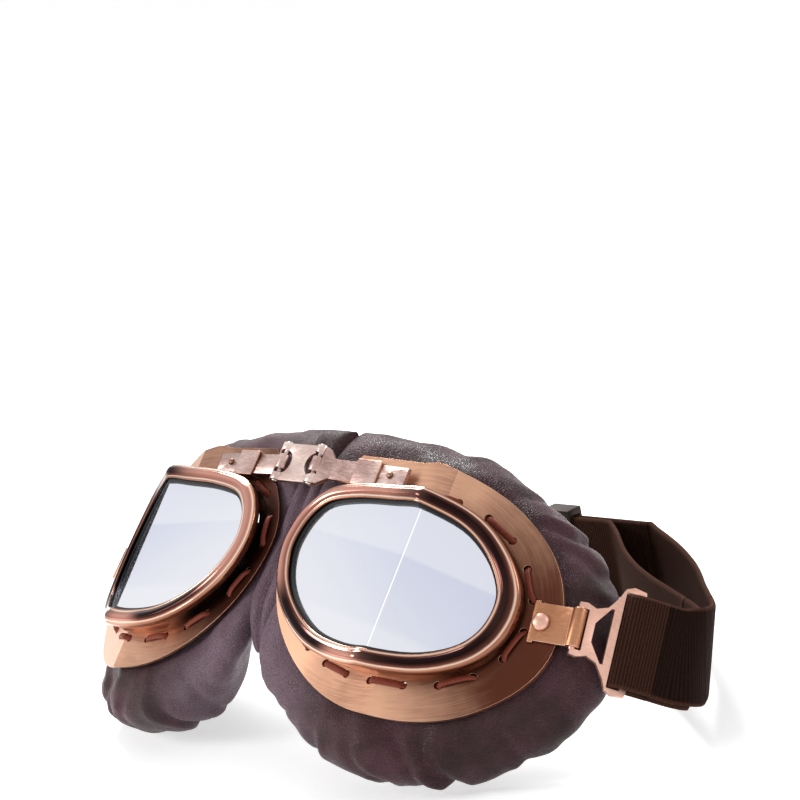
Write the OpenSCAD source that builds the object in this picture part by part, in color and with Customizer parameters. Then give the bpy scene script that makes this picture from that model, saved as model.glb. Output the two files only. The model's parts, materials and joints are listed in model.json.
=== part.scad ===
// Flying goggles with split lenses, a jointed nose bridge, laced leather pads
// and an elastic strap. They stand on the two cheek lobes, leaning back on the
// strap. Millimetres, +Z up, faces -Y, origin under the middle of the outline.
//
// Every piece is drawn upright first (X across the face, Y towards the face,
// Z up), then leaned back about X by lean(). The strap behind is drawn as it lies.

/* [Stance] */
// How far the goggles lean back from upright
lean_angle = 44; // [36:1:50]
// Height of the strap's lower edge above the table
strap_lift = 2.6; // [2.3:0.1:3.5]

/* [Lens and rim] */
// Sideways place of the fold line that splits each lens
crease_x = 54; // [52:0.5:56]
// Depth of the rim's front plane inside the fold
rim_y = -21; // [-22:0.5:-20]
// How far the outer third of the lens turns back
rim_bend = 33; // [28:1:36]
// Width of the rim seen from the front
rim_w = 4.7; // [4:0.1:5.5]
// How far the rim's skirt reaches back over the housing
skirt_d = 2.6; // [2.2:0.1:3]
// Wall of the lens housing
housing_t = 1; // [0.8:0.1:1.3]
// Thickness of the lens
lens_t = 1.8; // [1.4:0.1:2.2]
// Width of black gasket that shows inside the rim
gasket_show = 0.9; // [0.5:0.1:1.2]

/* [Flange] */
// Thickness of the flange plate
flange_t = 0.9; // [0.7:0.1:1.2]
// Depth of the flange's front at the fold line
flange_y = -11.4; // [-12:0.2:-11]
// Slope of the flange between nose and fold
flange_yaw = 4.5; // [3:0.5:6]
// Slope of the flange outside the fold
flange_out = 26; // [23:1:28]
// Number of lace holes round each lens
lace_holes = 24; // [20:2:26]
// Diameter of a lace hole
lace_hole_d = 2.2; // [2:0.1:2.4]
// Distance from the rim's edge to the middle of the lace holes
lace_off = 0.9; // [0.8:0.1:1.2]
// Place of the first lace hole along the rim, in hole spacings
lace_phase = 1.5; // [0:0.1:2]
// Diameter of the lace
lace_d = 1.5; // [1.2:0.1:1.6]

/* [Bridge] */
// Sideways place of the two hinge pins
pin_x = 7.2; // [6.8:0.1:8]
// Depth of the hinge pins
pin_y = -19.4; // [-20:0.2:-19]
// Diameter of the hinge pins
pin_d = 1.5; // [1.3:0.1:1.7]
// Height of the bridge link
link_h = 11.4; // [10.5:0.1:12.5]
// Middle height of the bridge
bridge_z = 29.5; // [29:0.1:30]
// Radial play of a hinge pin in its knuckle
pin_play = 0.06; // [0.03:0.01:0.1]
// Height of the bridge arm
arm_h = 6.1; // [5.5:0.1:6.6]
// Thickness of the bridge arm
arm_t = 1.2; // [1:0.1:1.4]
// Gap between the arm and the flange, where the lace passes
arm_gap = 1.75; // [1.7:0.05:2]
// Length of the arm, from its pin to its free end
arm_len = 32.5; // [31:0.5:34]

/* [Tab and strap loop] */
// Sideways place of the tab rivet
rivet_x = 87.3; // [86:0.1:88]
// Height of the tab rivet
rivet_z = 0.8; // [0:0.1:2]
// Diameter of the rivet's shank
rivet_d = 3; // [2.6:0.1:3.2]
// Diameter of the rivet's domed head
rivet_head_d = 4.8; // [4.4:0.1:5.2]
// Height of the tab
tab_h = 10.4; // [9.5:0.1:11]
// Thickness of the tab
tab_t = 0.9; // [0.7:0.1:1.1]
// Distance from the rivet to the loop's hinge bar
tab_reach = 9.6; // [9:0.1:11]
// How far the tab is turned up on its rivet
tab_swivel = 7; // [3:1:12]
// How far the loop is folded back from the tab
loop_turn = 26; // [22:1:32]
// Thickness of the stamped loop
loop_t = 1.5; // [1.3:0.1:1.7]
// Distance from the loop's hinge bar to its strap bar
loop_reach = 15.2; // [14:0.1:16]
// Width of the loop's metal above and below the strap's slot
loop_wall = 1.7; // [1.4:0.1:2.5]

/* [Leather] */
// Depth of the pad under the lens
pad_depth = 25; // [22:0.5:26]
// Depth of the pad beside the nose
pad_nose_depth = 9; // [8:0.5:10]
// Half width of the nose piece between the pads
nose_half_w = 3.7; // [3.4:0.1:4]
// Thickness of the nose piece near its top
nose_t = 9; // [7:0.5:10]
// Height of the nose piece above the middle of the lenses
nose_top = 44.2; // [42:0.1:46]
// Depth of the nose piece below the middle of the lenses
nose_low = 28.5; // [26:0.5:30]
// Half width of the eye opening through the pad
eye_rx = 31; // [30:0.5:32]
// Half height of the eye opening through the pad
eye_rz = 21; // [20:0.5:22]
// Thickness of the black lining in the eye opening
lining_t = 1.2; // [1:0.1:1.6]

/* [Strap] */
// Width of the elastic strap
strap_w = 25.3; // [24:0.1:25.5]
// Thickness of the elastic strap
strap_t = 1.5; // [1.2:0.1:1.6]
// How far behind the middle of the outline the strap's rear run lies
strap_back_y = 74; // [71:0.5:76]
// Half length of the straight rear run
strap_half = 26; // [25:0.5:30]
// Sideways place of the adjuster on the rear run
slider_x = -6; // [-8:0.5:-3]
// Thickness of the adjuster's plates
slider_t = 1.2; // [1:0.1:1.4]

/* [Hidden] */
$fn = 32;

// Outlines seen from the front of the right-hand lens, nose to the left
rim_line = [[44, 25.6], [crease_x, 25.6], [67, 22.8], [76, 16.4], [81.8, 7.8],
    [83.3, -0.5], [81.4, -9.6], [76, -17.2], [66.5, -23], [crease_x, -25.7],
    [43, -25.4], [31.5, -22.6], [21, -16.6], [13, -8.8], [8.6, 0], [7.9, 8],
    [11, 16.6], [18, 22.8], [30, 25.2]];
flange_line = [[42, 35.9], [crease_x, 34.8], [66, 31.6], [76, 26.4], [84.6, 18.8],
    [90, 9.6], [92.3, -1], [91.3, -10.6], [86.4, -19.8], [77, -28.8], [66, -34],
    [crease_x, -35.8], [42, -34.4], [31, -30.4], [20, -23.4], [10.6, -13.8],
    [4.8, -3], [2.9, 7], [4.8, 14.6], [9.6, 21.6], [15.6, 26]];
pad_line = [[5.6, 45], [20, 45.6], [46, 44.4], [63, 40.6], [76, 34.6], [87, 26],
    [95, 14.5], [98.8, 1], [98, -13], [93, -27], [82.5, -38.6], [68.5, -46.4],
    [54, -49.4], [40, -48.6], [26, -43.6], [13, -35.2], [4.6, -27.6], [4, -12],
    [4, 8], [4, 28]];
outline_steps = 4;

// Clearances: between still parts, and between parts that move
seat_gap = 0.05;
run_gap = 0.3;
lining_gap = 0.7;

half_w = strap_w / 2;
knuckle_r = pin_d / 2 + pin_play + 0.95;
knuckle_h = 4.2;
link_t = 1.3;
slider_play = 0.25;
layer_gap = 0.35;
bar_d = 1.8;
slot_play = 0.35;
loop_h = strap_w + 2 * (slot_play + loop_wall);

function flange_at(x) = flange_y + (x - crease_x) * tan(x < crease_x ? flange_yaw : flange_out);
function rim_at(x) = rim_y + (x < crease_x ? 0 : (x - crease_x) * tan(rim_bend));

// Smooth curves through control points: closed, and open
function curve_at(a, b, c, d, t) = 0.5 * (2 * b + (c - a) * t
    + (2 * a - 5 * b + 4 * c - d) * t * t + (3 * b - a - 3 * c + d) * t * t * t);
function smooth_loop(p, steps) = let (n = len(p)) [for (i = [0 : n - 1], j = [0 : steps - 1])
    curve_at(p[(i + n - 1) % n], p[i], p[(i + 1) % n], p[(i + 2) % n], j / steps)];
function smooth_run(p, steps) = let (n = len(p)) concat(
    [for (i = [0 : n - 2], j = [0 : steps - 1])
        curve_at(p[max(i - 1, 0)], p[i], p[i + 1], p[min(i + 2, n - 1)], j / steps)],
    [p[n - 1]]);

// A clockwise outline moved inwards by d, or outwards where d is negative
function inset(p, d) = let (n = len(p)) [for (i = [0 : n - 1])
    let (t = p[(i + 1) % n] - p[(i + n - 1) % n]) p[i] + d * [t[1], -t[0]] / norm(t)];

// Points at equal distances along a closed outline
function spread(p, count, phase) = let (n = len(p),
    run = [for (i = 0, s = 0; i <= n; s = s + norm(p[(i + 1) % n] - p[i % n]), i = i + 1) s])
    [for (k = [0 : count - 1]) let (at = run[n] * ((k + phase) % count) / count,
        i = max([for (j = [0 : n - 1]) run[j] <= at ? j : 0]),
        f = (at - run[i]) / (run[i + 1] - run[i]))
        p[i % n] * (1 - f) + p[(i + 1) % n] * f];

rim_loop = smooth_loop(rim_line, outline_steps);
flange_loop = smooth_loop(flange_line, outline_steps);
lace_points = spread(inset(rim_loop, -lace_off), lace_holes, lace_phase);

// Turning vectors about the axes
function turn_x(v, a) = [v[0], v[1] * cos(a) - v[2] * sin(a), v[1] * sin(a) + v[2] * cos(a)];
function turn_y(v, a) = [v[0] * cos(a) + v[2] * sin(a), v[1], v[2] * cos(a) - v[0] * sin(a)];
function turn_z(v, a) = [v[0] * cos(a) - v[1] * sin(a), v[0] * sin(a) + v[1] * cos(a), v[2]];

// Where the tab's rivet, the loop's hinge bar and its strap bar lie
rivet_at = [rivet_x, flange_at(rivet_x), rivet_z];
tab_face = tab_t + 0.1;
fold_at = [tab_reach, -tab_t / 2 - 0.1, 0];
function tab_turn(v) = turn_z(turn_y(v, -tab_swivel), flange_out);
function loop_dir(v) = tab_turn(turn_z(v, loop_turn));
function loop_pt(v) = rivet_at + tab_turn(fold_at) + loop_dir(v);

eye_mid = [46, 0];

// The pad: a leather roll round the eye opening, shallower beside the nose
pad_loop = smooth_loop(pad_line, 2);
pad_sides = 14;
function ease(t) = let (s = max(0, min(1, t))) s * s * (3 - 2 * s);
function pow_s(v, e) = v < 0 ? -pow(-v, e) : pow(v, e);
function eye_pt(p) = let (d = p - eye_mid, a = atan2(d[1] / eye_rz, d[0] / eye_rx))
    eye_mid + [eye_rx * cos(a), eye_rz * sin(a)];
function pad_deep(x) = pad_nose_depth + (pad_depth - pad_nose_depth) * ease((x - 8) / 16)
    - 3 * ease((x - 78) / 20);
function pad_ring(p) = let (q = eye_pt(p), m = (p + q) / 2, h = (p - q) / 2)
    [for (k = [0 : pad_sides - 1]) let (a = -360 * k / pad_sides,
        c = pow_s(cos(a), 0.75), s = pow_s(sin(a), 0.75), v = m + h * c, d = pad_deep(v[0]))
        [v[0], flange_at(v[0]) + flange_t + run_gap + d / 2 * (1 + s), v[1]]];
// The leaned frame: the pads' lowest point comes to the table, and the outline
// from the pads' front to the adjuster's back is centred
function least(axis) = min([for (p = pad_loop, q = pad_ring(p)) turn_x(q, -lean_angle)[axis]]);
back_edge = strap_back_y + strap_t / 2 + slider_play + slider_t;
shift = [0, -back_edge - least(1), -least(2)];
function lean_pt(p) = turn_x(p, -lean_angle) + shift;
function lean_dir(v) = turn_x(v, -lean_angle);
module lean() translate(shift) rotate([-lean_angle, 0, 0]) children();
module right() lean() children();
module left() mirror([1, 0, 0]) lean() children();

// A plate with a front-view outline, between two depths
module block(p, y0 = -40, y1 = 60) translate([0, y1, 0]) rotate([90, 0, 0])
    linear_extrude(y1 - y0) polygon(p);

// The line a bent sheet follows in plan, moved t behind its front face
function bent_line(y, in, out, t) = let (k1 = t / cos(in), k2 = t / cos(out),
    x = (k1 - k2) / (tan(out) - tan(in)))
    [[crease_x - 66, y - 66 * tan(in) + k1],
     [crease_x + x, y + x * tan(in) + k1],
     [crease_x + 70, y + 70 * tan(out) + k2]];
module rim_slab(t0, t1) translate([0, 0, -80]) linear_extrude(160)
    polygon(concat(bent_line(rim_y, 0, rim_bend, t0), [for (i = [2 : -1 : 0])
        bent_line(rim_y, 0, rim_bend, t1)[i]]));
module flange_slab(t0, t1) translate([0, 0, -80]) linear_extrude(160)
    polygon(concat(bent_line(flange_y, flange_yaw, flange_out, t0), [for (i = [2 : -1 : 0])
        bent_line(flange_y, flange_yaw, flange_out, t1)[i]]));
// Everything between the rim's plane, t0 behind it, and the flange's front face
module between(t0) translate([0, 0, -80]) linear_extrude(160)
    polygon(concat(bent_line(rim_y, 0, rim_bend, t0), [for (i = [2 : -1 : 0])
        bent_line(flange_y, flange_yaw, flange_out, 0)[i]]));

// A closed skin over rings of points that are equally long
function ring_faces(rings, sides, closed) = concat(
    [for (i = [0 : rings - (closed ? 1 : 2)], k = [0 : sides - 1])
        let (a = i * sides, b = ((i + 1) % rings) * sides, m = (k + 1) % sides)
        each [[a + k, b + k, b + m], [a + k, b + m, a + m]]],
    closed ? [] : [[for (k = [0 : sides - 1]) k],
        [for (k = [sides - 1 : -1 : 0]) (rings - 1) * sides + k]]);
module skin(rings, closed = false) polyhedron(
    points = [for (r = rings) each r],
    faces = ring_faces(len(rings), len(rings[0]), closed), convexity = 8);

// Lens, gasket, rim and housing, from the front back
lens_in = housing_t + 1.1;
gasket_t = 0.6;
lip_back = 1.2;
lens_front = lip_back + gasket_t + 2 * seat_gap;
lens_back = lens_front + lens_t;
rim_profile = [[0, skirt_d], [0, 0.9], [0.5, 0.2], [1.5, -0.3], [3.1, -0.2],
    [rim_w - 0.4, 0.3], [rim_w, lip_back], [0.95, lip_back], [0.95, skirt_d]];

module rim() color("#6d4438") skin([for (i = [0 : len(rim_loop) - 1])
    [for (q = rim_profile) let (p = inset(rim_loop, q[0])[i])
        [p[0], rim_at(p[0]) + q[1], p[1]]]], closed = true);

module gasket() color("#1c1a1b") intersection() {
    rim_slab(lip_back + seat_gap, lip_back + seat_gap + gasket_t);
    difference() {
        block(inset(rim_loop, lens_in));
        block(inset(rim_loop, rim_w + gasket_show), -41, 61);
    }
}

module lens() color("#c3c8dc") intersection() {
    rim_slab(lens_front, lens_back);
    block(inset(rim_loop, lens_in));
}

// Oval vents through the housing beside the nose
module vent(z) translate([8.6, flange_at(9) - 2.2, z]) rotate([0, 90, 0]) hull() {
    translate([-1.3, 0, 0]) cylinder(d = 1.7, h = 12, center = true);
    translate([1.3, 0, 0]) cylinder(d = 1.7, h = 12, center = true);
}

module housing() color("#8c5f47") difference() {
    intersection() {
        between(lip_back + seat_gap);
        union() {
            difference() {
                block(inset(rim_loop, 1));
                block(inset(rim_loop, 1 + housing_t), -41, 61);
            }
            intersection() {
                rim_slab(lens_back + seat_gap, lens_back + seat_gap + 0.8);
                difference() {
                    block(inset(rim_loop, 1 + housing_t / 2));
                    block(inset(rim_loop, rim_w), -41, 61);
                }
            }
        }
    }
    vent(13);
    vent(0);
}

// The flange: a bent plate with an ear that carries the sleeve
module flange() color("#a5714f") difference() {
    intersection() {
        flange_slab(0, flange_t);
        union() {
            block(flange_loop);
            block([[44, 35.8], [44, 20], [16.2, 20], [15.8, 33], [18.4, 35.8]]);
        }
    }
    block(inset(rim_loop, 1 + housing_t), -41, 61);
    for (p = lace_points) translate([p[0], 0, p[1]]) rotate([90, 0, 0])
        cylinder(d = lace_hole_d, h = 120, center = true);
    at_tab() rotate([90, 0, 0]) cylinder(d = rivet_d, h = 12, center = true);
}

// The lace: over the front between one pair of holes, behind the next
lace_clear = lace_d / 2 + 0.12;
function lace_pt(i, back) = let (p = lace_points[i % lace_holes])
    [p[0], flange_at(p[0]) + (back ? flange_t + lace_clear : -lace_clear)
        / cos(p[0] < crease_x ? flange_yaw : flange_out), p[1]];
lace_path = [for (i = [0 : lace_holes - 1]) let (
    a = lace_pt(i, i % 2 == 1), b = lace_pt(i, i % 2 == 0), c = lace_pt(i + 1, i % 2 == 0),
    over = (b[0] - crease_x) * (c[0] - crease_x) < 0,
    m = b + (over ? (crease_x - b[0]) / (c[0] - b[0]) : 0.5) * (c - b), mid_x = m[0])
    each [a, b, [mid_x, i % 2 == 1 ? min(m[1], lace_mid(mid_x, -1))
        : max(m[1], lace_mid(mid_x, 1)), m[2]]]];
function lace_mid(x, side) = flange_at(x) + (side > 0 ? flange_t + lace_clear : -lace_clear)
    / cos(x < crease_x ? flange_yaw : flange_out);
function lace_ring(i) = let (n = len(lace_path), p = lace_path[i],
    t = lace_path[(i + 1) % n] - lace_path[(i + n - 1) % n], u = t / norm(t),
    o = [p[0] - eye_mid[0], 0, p[2] - eye_mid[1]], s = cross(u, o), b = s / norm(s), e = cross(b, u))
    [for (k = [0 : 5]) p + lace_d / 2 * (cos(60 * k) * b - sin(60 * k) * e)];
module lace() color("#a3402c") skin([for (i = [0 : len(lace_path) - 1]) lace_ring(i)], closed = true);

// The bridge: H-shaped link, two pins, two arms that slide through the sleeves
module bridge_link() color("#b58a72") lean() translate([0, pin_y, bridge_z]) difference() {
    union() {
        translate([-pin_x + 1, -link_t / 2, -link_h / 2]) cube([2 * pin_x - 2, link_t, link_h]);
        for (s = [-1, 1], z = [-1, 1]) translate([s * pin_x, 0, z * (link_h + knuckle_h + 0.2) / 4])
            cylinder(r = knuckle_r, h = (link_h - knuckle_h - 0.2) / 2, center = true);
    }
    for (s = [-1, 1]) {
        translate([s * pin_x, 0, 0]) cylinder(d = pin_d + 2 * seat_gap, h = link_h + 1, center = true);
        translate([s * pin_x, 0, 0]) cylinder(r = knuckle_r + 0.15, h = knuckle_h + 0.2, center = true);
        translate([s * (pin_x - 0.6), 0, 0]) rotate([90, 0, 0]) cylinder(r = 3.6, h = 6, center = true);
    }
}

module hinge_pin() color("#9c9490") translate([pin_x, pin_y, bridge_z]) {
    cylinder(d = pin_d, h = link_h + 0.4, center = true);
    for (z = [-1, 1]) translate([0, 0, z * (link_h / 2 + 0.05)]) mirror([0, 0, z < 0 ? 1 : 0])
        rotate_extrude() polygon([[0, 0], [pin_d / 2 + 0.5, 0], [pin_d / 2 + 0.4, 0.35], [0, 0.8]]);
}

arm_start = pin_x + 5;
module arm() color("#b58a72") difference() {
    union() {
        intersection() {
            translate([0, 0, bridge_z - link_h / 2]) linear_extrude(link_h) polygon(concat(
                [[pin_x + 0.4, pin_y - arm_t / 2], [pin_x + 2.2, pin_y - arm_t / 2]],
                [[arm_start, flange_at(arm_start) - arm_gap - arm_t],
                 [pin_x + arm_len, flange_at(pin_x + arm_len) - arm_gap - arm_t],
                 [pin_x + arm_len, flange_at(pin_x + arm_len) - arm_gap],
                 [arm_start - 0.1, flange_at(arm_start - 0.1) - arm_gap],
                 [pin_x + 1.6, pin_y + arm_t / 2], [pin_x + 0.4, pin_y + arm_t / 2]]));
            block([[pin_x, bridge_z + link_h / 2 - 0.2], [pin_x + 2.6, bridge_z + link_h / 2 - 0.2],
                [pin_x + 4.6, bridge_z + arm_h / 2], [60, bridge_z + arm_h / 2],
                [60, bridge_z - arm_h / 2], [pin_x + 4.6, bridge_z - arm_h / 2],
                [pin_x + 2.6, bridge_z - link_h / 2 + 0.2], [pin_x, bridge_z - link_h / 2 + 0.2]]);
        }
        translate([pin_x, pin_y, bridge_z]) cylinder(r = knuckle_r, h = knuckle_h, center = true);
    }
    translate([pin_x, pin_y, bridge_z]) {
        cylinder(d = pin_d + 2 * pin_play, h = link_h + 1, center = true);
        for (z = [-1, 1]) translate([0, 0, z * (knuckle_h / 2 + link_h / 2)])
            cylinder(r = knuckle_r + 0.2, h = link_h, center = true);
    }
    arm_stop_at() rotate([90, 0, 0]) cylinder(d = 1.3, h = 6, center = true);
}

stop_x = pin_x + arm_len - 5.8;
module arm_stop_at() translate([stop_x, flange_at(stop_x) - arm_gap - arm_t, bridge_z + 0.3])
    rotate([0, 0, flange_yaw]) children();
module arm_stop() color("#8a6a5c") arm_stop_at() rotate([90, 0, 0]) {
    translate([0, 0, -arm_t]) cylinder(d = 1.3, h = arm_t + 0.1);
    rotate_extrude() polygon([[0, 0], [1.05, 0], [0.95, 0.4], [0.5, 0.7], [0, 0.8]]);
}

sleeve_x = pin_x + arm_len - 18.5;
sleeve_len = 8.8;
sleeve_wall = 0.7;
arm_play = 0.12;
sleeve_h = arm_h + 2 * (arm_play + sleeve_wall);
module sleeve() color("#8f6350") difference() {
    intersection() {
        flange_slab(-arm_gap - arm_t - arm_play - sleeve_wall, 0);
        block([[sleeve_x, bridge_z - sleeve_h / 2], [sleeve_x + sleeve_len, bridge_z - sleeve_h / 2],
            [sleeve_x + sleeve_len, bridge_z + sleeve_h / 2], [sleeve_x, bridge_z + sleeve_h / 2]]);
    }
    intersection() {
        flange_slab(-arm_gap - arm_t - arm_play, 1);
        block([[sleeve_x - 1, bridge_z - arm_h / 2 - arm_play],
            [sleeve_x + sleeve_len + 1, bridge_z - arm_h / 2 - arm_play],
            [sleeve_x + sleeve_len + 1, bridge_z + arm_h / 2 + arm_play],
            [sleeve_x - 1, bridge_z + arm_h / 2 + arm_play]]);
    }
}

// The tab swivels on its rivet; its outer end is rolled round the loop's bar
module at_tab() translate(rivet_at) rotate([0, 0, flange_out]) rotate([0, -tab_swivel, 0]) children();
module at_loop() at_tab() translate(fold_at) rotate([0, 0, loop_turn]) children();

module tab_rivet() color("#a98a78") at_tab() rotate([90, 0, 0]) {
    translate([0, 0, -flange_t - 0.5]) cylinder(d = rivet_d, h = flange_t + tab_face + 0.6);
    translate([0, 0, -flange_t - 0.6]) cylinder(d = rivet_d + 1.4, h = 0.6);
    translate([0, 0, tab_face + seat_gap]) rotate_extrude() polygon(concat(
        [[0, 0], [rivet_head_d / 2, 0]],
        [for (a = [0 : 15 : 90]) [rivet_head_d / 2 * cos(a), 0.15 + rivet_dome * sin(a)]]));
}

rivet_dome = 1.4;
tab_in = rivet_head_d / 2 + 0.1;
fold_r = bar_d / 2 + 0.1 + tab_t;
module tab() color("#a5714f") at_tab() difference() {
    union() {
        translate([-tab_in, -tab_face, -tab_h / 2]) cube([tab_reach + tab_in, tab_t, tab_h]);
        for (z = [-1, 1]) translate([-tab_in, -tab_face, z * tab_h / 2 - 0.5])
            cube([1.4, tab_t, 1]);
        translate(fold_at) cylinder(r = fold_r, h = tab_h, center = true);
    }
    rotate([90, 0, 0]) cylinder(d = rivet_d + 0.1, h = 8, center = true);
    translate(fold_at) cylinder(d = bar_d + 0.2, h = tab_h + 2, center = true);
}

// The stamped loop: hinge bar, neck, window, strap slot and strap bar
neck_x = 3.9;
loop_web = 2.1;
slot_w = 3.6;
window_h = 15;
window_out = loop_reach - 0.9 - slot_w - loop_web;
module loop_plate(p) rotate([90, 0, 0]) translate([0, 0, -loop_t / 2])
    linear_extrude(loop_t) polygon(p);
module strap_loop() color("#c79a7e") at_loop() {
    difference() {
        loop_plate([[-0.6, tab_h / 2 + 1.9], [1.4, tab_h / 2 + 2.1], [neck_x, tab_h / 2 + 1.2],
            [neck_x + 3, tab_h / 2 + 2.4], [neck_x + 5.4, loop_h / 2 - 3.6],
            [neck_x + 6.6, loop_h / 2 - 0.9], [loop_reach - 2.6, loop_h / 2],
            [loop_reach + 0.6, loop_h / 2 - 0.5], [loop_reach + 0.9, loop_h / 2 - 1.9],
            [loop_reach + 0.9, -loop_h / 2 + 1.9], [loop_reach + 0.6, -loop_h / 2 + 0.5],
            [loop_reach - 2.6, -loop_h / 2], [neck_x + 6.6, -loop_h / 2 + 0.9],
            [neck_x + 5.4, -loop_h / 2 + 3.6], [neck_x + 3, -tab_h / 2 - 2.4],
            [neck_x, -tab_h / 2 - 1.2], [1.4, -tab_h / 2 - 2.1], [-0.6, -tab_h / 2 - 1.9]]);
        translate([-2.5, -2, -tab_h / 2 - 0.4]) cube([2.5 + 2.2, 4, tab_h + 0.8]);
        window();
        translate([loop_reach - 0.9 - slot_w, -2, -half_w - slot_play])
            cube([slot_w, 4, strap_w + 2 * slot_play]);
    }
    cylinder(d = bar_d, h = tab_h + 1.2, center = true);
}
module window() rotate([90, 0, 0]) translate([0, 0, -2]) linear_extrude(4) polygon([
    [neck_x + 0.5, 2.6], [window_out - 0.8, window_h / 2], [window_out, window_h / 2],
    [window_out, -window_h / 2], [window_out - 0.8, -window_h / 2], [neck_x + 0.5, -2.6]]);

module pad() color("#4b3a3d") difference() {
    skin([for (p = pad_loop) pad_ring(p)], closed = true);
    intersection() {
        flange_slab(-1, flange_t + run_gap);
        block(inset(flange_loop, -0.6));
    }
    intersection() {
        flange_slab(flange_t, flange_t + lace_d + 0.8);
        difference() {
            block(inset(rim_loop, -lace_off - 1.6));
            block(inset(rim_loop, -lace_off + 1.6), -41, 61);
        }
    }
    at_tab() rotate([90, 0, 0]) cylinder(d = rivet_d + 2.4, h = 5, center = true);
}

function oval(rx, rz, n = 48) = [for (i = [0 : n - 1])
    eye_mid + [rx * cos(360 * i / n), -rz * sin(360 * i / n)]];
module lining() color("#191718") intersection() {
    translate([0, 0, -80]) linear_extrude(160) polygon(concat(
        [for (x = [6 : 6 : 90]) [x, flange_at(x) + flange_t + 0.4]],
        [for (x = [90 : -6 : 6]) [x, flange_at(x) + flange_t + pad_deep(x) * 0.75]]));
    difference() {
        block(oval(eye_rx - lining_gap, eye_rz - lining_gap));
        block(oval(eye_rx - lining_gap - lining_t, eye_rz - lining_gap - lining_t),
            -41, 61);
    }
}

// The nose piece between the pads
module nose_piece() color("#463638") lean() {
    front = flange_at(0) + flange_t + run_gap;
    translate([-nose_half_w, 0, 0]) rotate([90, 0, 90]) linear_extrude(2 * nose_half_w)
        polygon([[front, 1.5 - nose_low], [front + 2, -nose_low], [front + 5, 1 - nose_low],
            [front + nose_t - 2, 4.5 - nose_low], [front + nose_t - 1, 0],
            [front + nose_t, nose_top - 14.2], [front + nose_t - 1, nose_top - 4.2],
            [front + 5, nose_top], [front + 2, nose_top - 0.4], [front, nose_top - 3.2]]);
}

// The strap: a band along a route, its width axis turning from the loop's bar
// at one end to upright at the other
function band_ring(p, i, w) = let (n = len(p), t = p[min(i + 1, n - 1)] - p[max(i - 1, 0)],
    u = t / norm(t), s = cross(w, u), b = s / norm(s), a = cross(u, b))
    [p[i] + half_w * a + strap_t / 2 * b, p[i] + half_w * a - strap_t / 2 * b,
     p[i] - half_w * a - strap_t / 2 * b, p[i] - half_w * a + strap_t / 2 * b];
module band(route, w0, w1, steps = 3) {
    p = smooth_run(route, steps);
    n = len(p) - 1;
    skin([for (i = [0 : n]) band_ring(p, i, w0 * (1 - ease(1.15 * i / n)) + w1 * ease(1.15 * i / n))]);
}

strap_z = strap_lift + half_w;
bar_axis = lean_dir(loop_dir([0, 0, 1]));
wrap_r = 1.3;
leg_len = 7;
fold_spare = 6;
leg_y = wrap_r + strap_t / 2;
// The line of a strap end's outer (-1) or inner (1) leg, and on beyond it
function leg_out(side, far) = lean_pt(loop_pt([loop_reach + leg_len + far, side * leg_y, 0]));
rear_y = strap_back_y;
inner_y = rear_y - strap_t - layer_gap;
// A route from a leg back to the rear run: each row is a sideways step, and the
// shares of the way back and of the way down that are done there
function strap_route(side, rows, y, end_x, last_steps) = let (from = leg_out(side, 0.1)) concat(
    [for (far = [0.1, 1.2, 4.6]) leg_out(side, far)],
    [for (r = rows) [from[0] + r[0], from[1] + r[1] * (y - from[1]),
        from[2] + r[2] * (strap_z - from[2])]],
    [for (x = last_steps) [end_x + x, y, strap_z]]);
outer_rows = [[4.8, 0.063, 0.232], [4.8, 0.108, 0.329], [2.5, 0.164, 0.411],
    [-2.3, 0.231, 0.501], [-9.4, 0.313, 0.577], [-18.4, 0.415, 0.639], [-28.9, 0.534, 0.673],
    [-40.9, 0.654, 0.742], [-53.3, 0.77, 0.838], [-65.1, 0.872, 0.928], [-74.8, 0.952, 0.997]];
inner_rows = [[3.8, 0.068, 0.298], [2.7, 0.111, 0.417], [-1, 0.166, 0.504],
    [-7.7, 0.228, 0.584], [-16.7, 0.298, 0.647], [-27.3, 0.376, 0.703], [-38.6, 0.461, 0.766],
    [-49.8, 0.553, 0.822], [-60.1, 0.649, 0.869], [-69.2, 0.743, 0.917], [-77.3, 0.833, 0.948],
    [-84.1, 0.91, 0.98], [-89.8, 0.968, 0.996]];
outer_route = strap_route(-1, outer_rows, rear_y, strap_half, [4.1, 2.1, 0.1]);
inner_route = strap_route(1, inner_rows, inner_y, slider_x + 2.2, [18.1, 12.1, 6.1, 0.1]);

module strap_end(inner_leg) color("#35241f") at_loop() translate([loop_reach, 0, 0]) {
    difference() {
        cylinder(r = wrap_r + strap_t, h = strap_w, center = true);
        cylinder(r = wrap_r, h = strap_w + 1, center = true);
        translate([0, -5, -half_w - 1]) cube([10, 10, strap_w + 2]);
    }
    for (s = [-1, 1]) translate([0, s * leg_y - strap_t / 2, -half_w])
        cube([s < 0 ? leg_len : inner_leg, strap_t, strap_w]);
}

module strap_rear() color("#35241f") translate([-strap_half, rear_y - strap_t / 2, strap_lift])
    cube([2 * strap_half, strap_t, strap_w]);

// The adjuster: two plates and two edge walls round both layers of the strap
slider_len = 11;
module slider() color("#2b2624") {
    depth = 2 * strap_t + layer_gap + 2 * slider_play;
    y0 = rear_y + strap_t / 2 + slider_play - depth;
    translate([slider_x - slider_len / 2, y0 - slider_t, 0]) difference() {
        cube([slider_len, depth + 2 * slider_t, strap_w + 2 * strap_lift]);
        translate([-1, slider_t, strap_lift - slider_play])
            cube([slider_len + 2, depth, strap_w + 2 * slider_play]);
    }
}

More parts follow.
